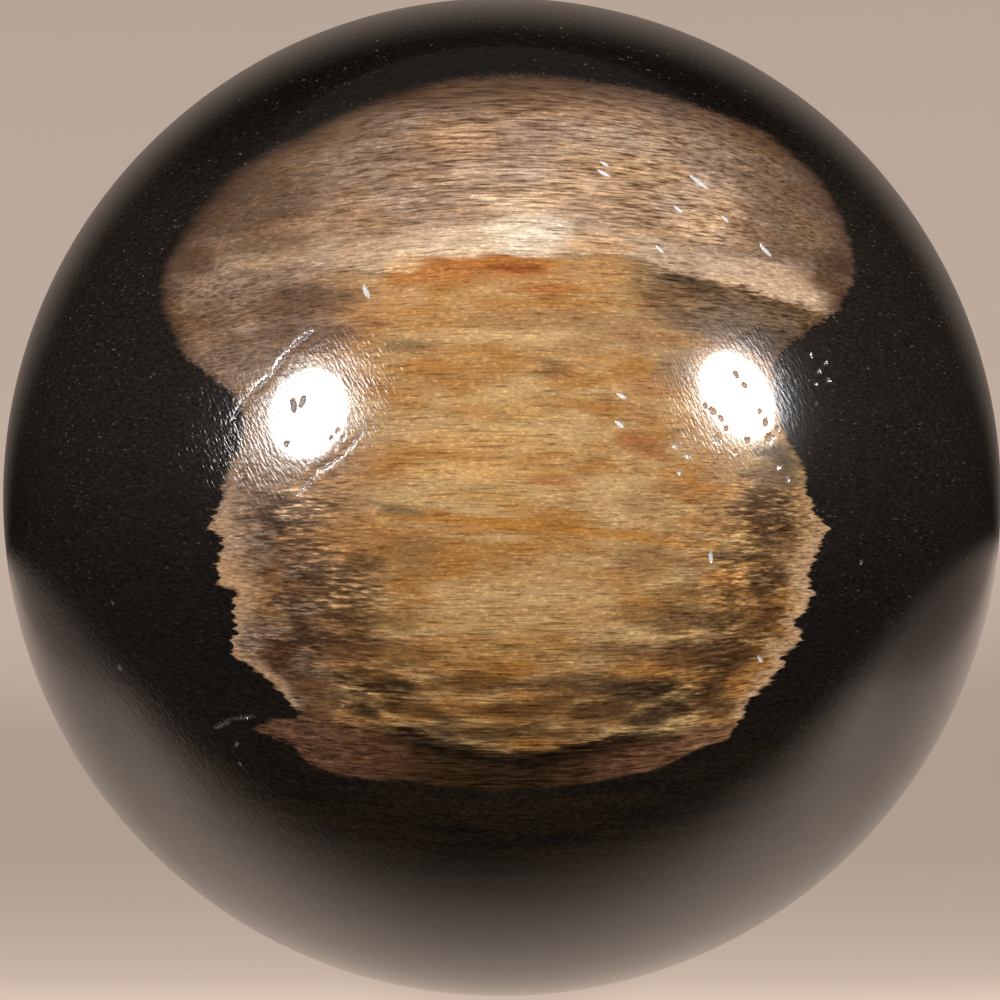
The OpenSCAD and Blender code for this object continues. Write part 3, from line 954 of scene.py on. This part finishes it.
# %% Fibres
FIBRES = ((0.46, 0.4, 0.35, 1), (1.54, 1.55, 1.55, 1))  # darkest and lightest tint
LAYERS = ((0.7, 0.64, 0.59, 1), (1.32, 1.34, 1.34, 1))
HUES = ((1.05, 0.99, 0.88, 1), (0.96, 1.0, 1.09, 1))  # warm and cool
CELLS = ((0.58, 0.52, 0.47, 1), (1.6, 1.6, 1.58, 1))
HAIRLINE = (0.62, 0.52, 0.42, 1)
FRINGE = paint(72, 48, 34)
dome_zone = calc("MAXIMUM", ease(above, -0.02, 0.05), ease(left_of_gold, -0.24, -0.4))
# Fibres are fewer under the pale band and under the painted reflection.
plain = calc("SUBTRACT", 1.0, times(calc("MAXIMUM", cream_reflection, pale), 0.75))
tamed = between(rim_mask, 1.0, 0.45)  # the rim is even, with few fibres
shoulder = times(dome_zone, calc("MAXIMUM", ease(U, -0.15, -0.4), ease(U, 0.36, 0.6, 0.7)))
quiet = between(shoulder, 1.0, between(ease(V, 0.5, 0.36), 0.38, 0.65))
zones = calc("MAXIMUM", calc("MAXIMUM", dome_zone, pocket), times(ring, 0.8))
busy = times(zones, plain, tamed, quiet)
wood = over(wood, over(*FIBRES, ease(fine, 0.26, 0.74)), between(busy, 0.3, 1.0), "MULTIPLY")
wood = over(wood, over(*LAYERS, ease(middle_grain, 0.28, 0.72)), between(busy, 0.16, 0.55), "MULTIPLY")
wood = over(wood, HAIRLINE, times(ease(fine, 0.4, 0.28, 0.8), quiet), "MULTIPLY")
hue = over(*HUES, ease(broad, 0.36, 0.62))
wood = over(wood, hue, times(between(dome_zone, 0.4, 1.0), plain), "MULTIPLY")
wood = over(wood, CELLS[0], ease(grit, 0.46, 0.26, 0.7), "MULTIPLY")
wood = over(wood, CELLS[1], ease(grit, 0.54, 0.76, 0.9), "MULTIPLY")
wood = over(wood, FRINGE, times(ease(inside, 0.07, 0.0), ease(V, 0.15, 0.35, 0.7)))
print("nodes with the fibres:", len(tree.nodes))

# %% [markdown]
# ## The dark stone
# Outside the window the stone is almost black, with a fine mottle. Its tone is painted by
# height: painted sheen lightens it across the middle and low down, where the polish mirrors
# the room's light, and painted shade darkens the top. Low down a painted brown reflection
# runs in streaks like grain, and a few pale specks are painted glints, where pinholes catch
# the lamps. At the lower left a black wedge cuts into the window, and a brown lobe sticks
# out below it.

# %% Dark stone
DARK_LOW_SHEEN, DARK_MIDDLE_SHEEN, DARK_TOP_SHADE = paint(30, 26, 24), paint(40, 34, 30), paint(22, 18, 16)
LOW_BROWN_REFLECTION, PINHOLE_GLINT = paint(50, 39, 29), paint(150, 136, 122)
DARK_GRIT = ((0.25, 0.23, 0.22, 1), (2.0, 1.95, 1.9, 1))  # darkest and lightest tint
GRIT_SHARE = 0.55
# Painted light: the black is lighter across the middle and low down, a painted sheen of the room's light,
# and darker at the top, painted shade.
deep = over(DARK_LOW_SHEEN, DARK_MIDDLE_SHEEN, ease(V, -0.3, 0.2))
deep = over(deep, DARK_TOP_SHADE, ease(V, 0.55, 0.85))
# Painted reflection: a dim brown low down, broken into streaks by the grain noise.
black = over(deep, LOW_BROWN_REFLECTION, times(ease(middle_grain, 0.25, 0.65), ease(V, -0.3, -0.75)))
black = over(black, over(*DARK_GRIT, ease(grit, 0.25, 0.75)), GRIT_SHARE, "MULTIPLY")
# Painted glints: pale specks where pinholes catch the lamps, on the upper part.
black = over(black, PINHOLE_GLINT, times(ease(grit, 0.69, 0.8, 0.8), clumps, ease(V, -0.5, 0.1)))
wedge = patch(-0.46, -0.42, 0.095, 0.014, -10, 0.3)
lobe = patch(-0.405, -0.471, 0.095, 0.027, -8, 0.55)
window = calc("MAXIMUM", times(window, calc("SUBTRACT", 1.0, wedge)), lobe)
colour = over(black, wood, window)
print("nodes with the dark stone:", len(tree.nodes))

# %% [markdown]
# ## Quartz and polish
# White quartz fills the slits, and the other flaws show paler, broken stone, so their layers
# lighten the colour. Both paints are also painted highlights: the slits are near-white for
# the lamps' glint on their walls as well, and the other flaws a lilac-white for the lamps'
# glint on their broken rims. The polish is a hard gloss with tiny ripples left by the pads,
# which break up the lamps' edges. It is a little poorer on the left, most of all by the
# fissure.

# %% Polish
QUARTZ_GLINT, BROKEN_STONE_GLINT = paint(250, 246, 248), paint(206, 202, 208)
QUARTZ_GLINT_SHARE = 0.95
BROKEN_GLINT_DARK, BROKEN_GLINT_PALE = 0.15, 0.5  # how much of it shows outside and inside the window
# Partly painted highlight: the slits are painted near-white, for their quartz and for the lamps' glint on
# their walls.
colour = over(colour, QUARTZ_GLINT, times(layer("quartz"), QUARTZ_GLINT_SHARE))
# Partly painted highlight: pale broken stone, and the lamps' glint on the flaws' rims, painted lilac-white.
colour = over(colour, BROKEN_STONE_GLINT, times(layer("opened"), between(window, BROKEN_GLINT_DARK, BROKEN_GLINT_PALE)))
feed(shader.inputs["Base Color"], colour)
RIPPLE_LEAN = -60
RIPPLE_HIGH = 0.029 * MM
leaning = add("Mapping")
feed(leaning.inputs["Vector"], grain_place)
feed(leaning.inputs["Rotation"], (0, radians(RIPPLE_LEAN), 0))
swell = grain(60, 220, 1, 0.6, 3.3, leaning.outputs[0])
by_fissure = times(ease(x_in, -0.42, -0.5), ease(y_in, -0.45, -0.65), ease(z_in, 0.0, 0.1))
swell_share = calc("ADD", between(x_in, 0.95, 0.35), by_fissure)
bump = add("Bump")
feed(bump.inputs["Strength"], 1.0)
feed(bump.inputs["Distance"], RIPPLE_HIGH)
feed(bump.inputs["Height"], times(swell, swell_share))
feed(shader.inputs["Normal"], bump.outputs[0])
GLOSS = {"Roughness": 0.165, "IOR": 1.5, "Coat Weight": 0.55, "Coat Roughness": 0.05, "Coat IOR": 1.5}
for name, value in GLOSS.items():
    feed(shader.inputs[name], value)
ball.data.materials.append(stone)
print("nodes:", len(tree.nodes))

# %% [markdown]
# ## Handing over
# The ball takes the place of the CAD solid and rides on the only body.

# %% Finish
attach(ball, "root")
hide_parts("polished_sphere")
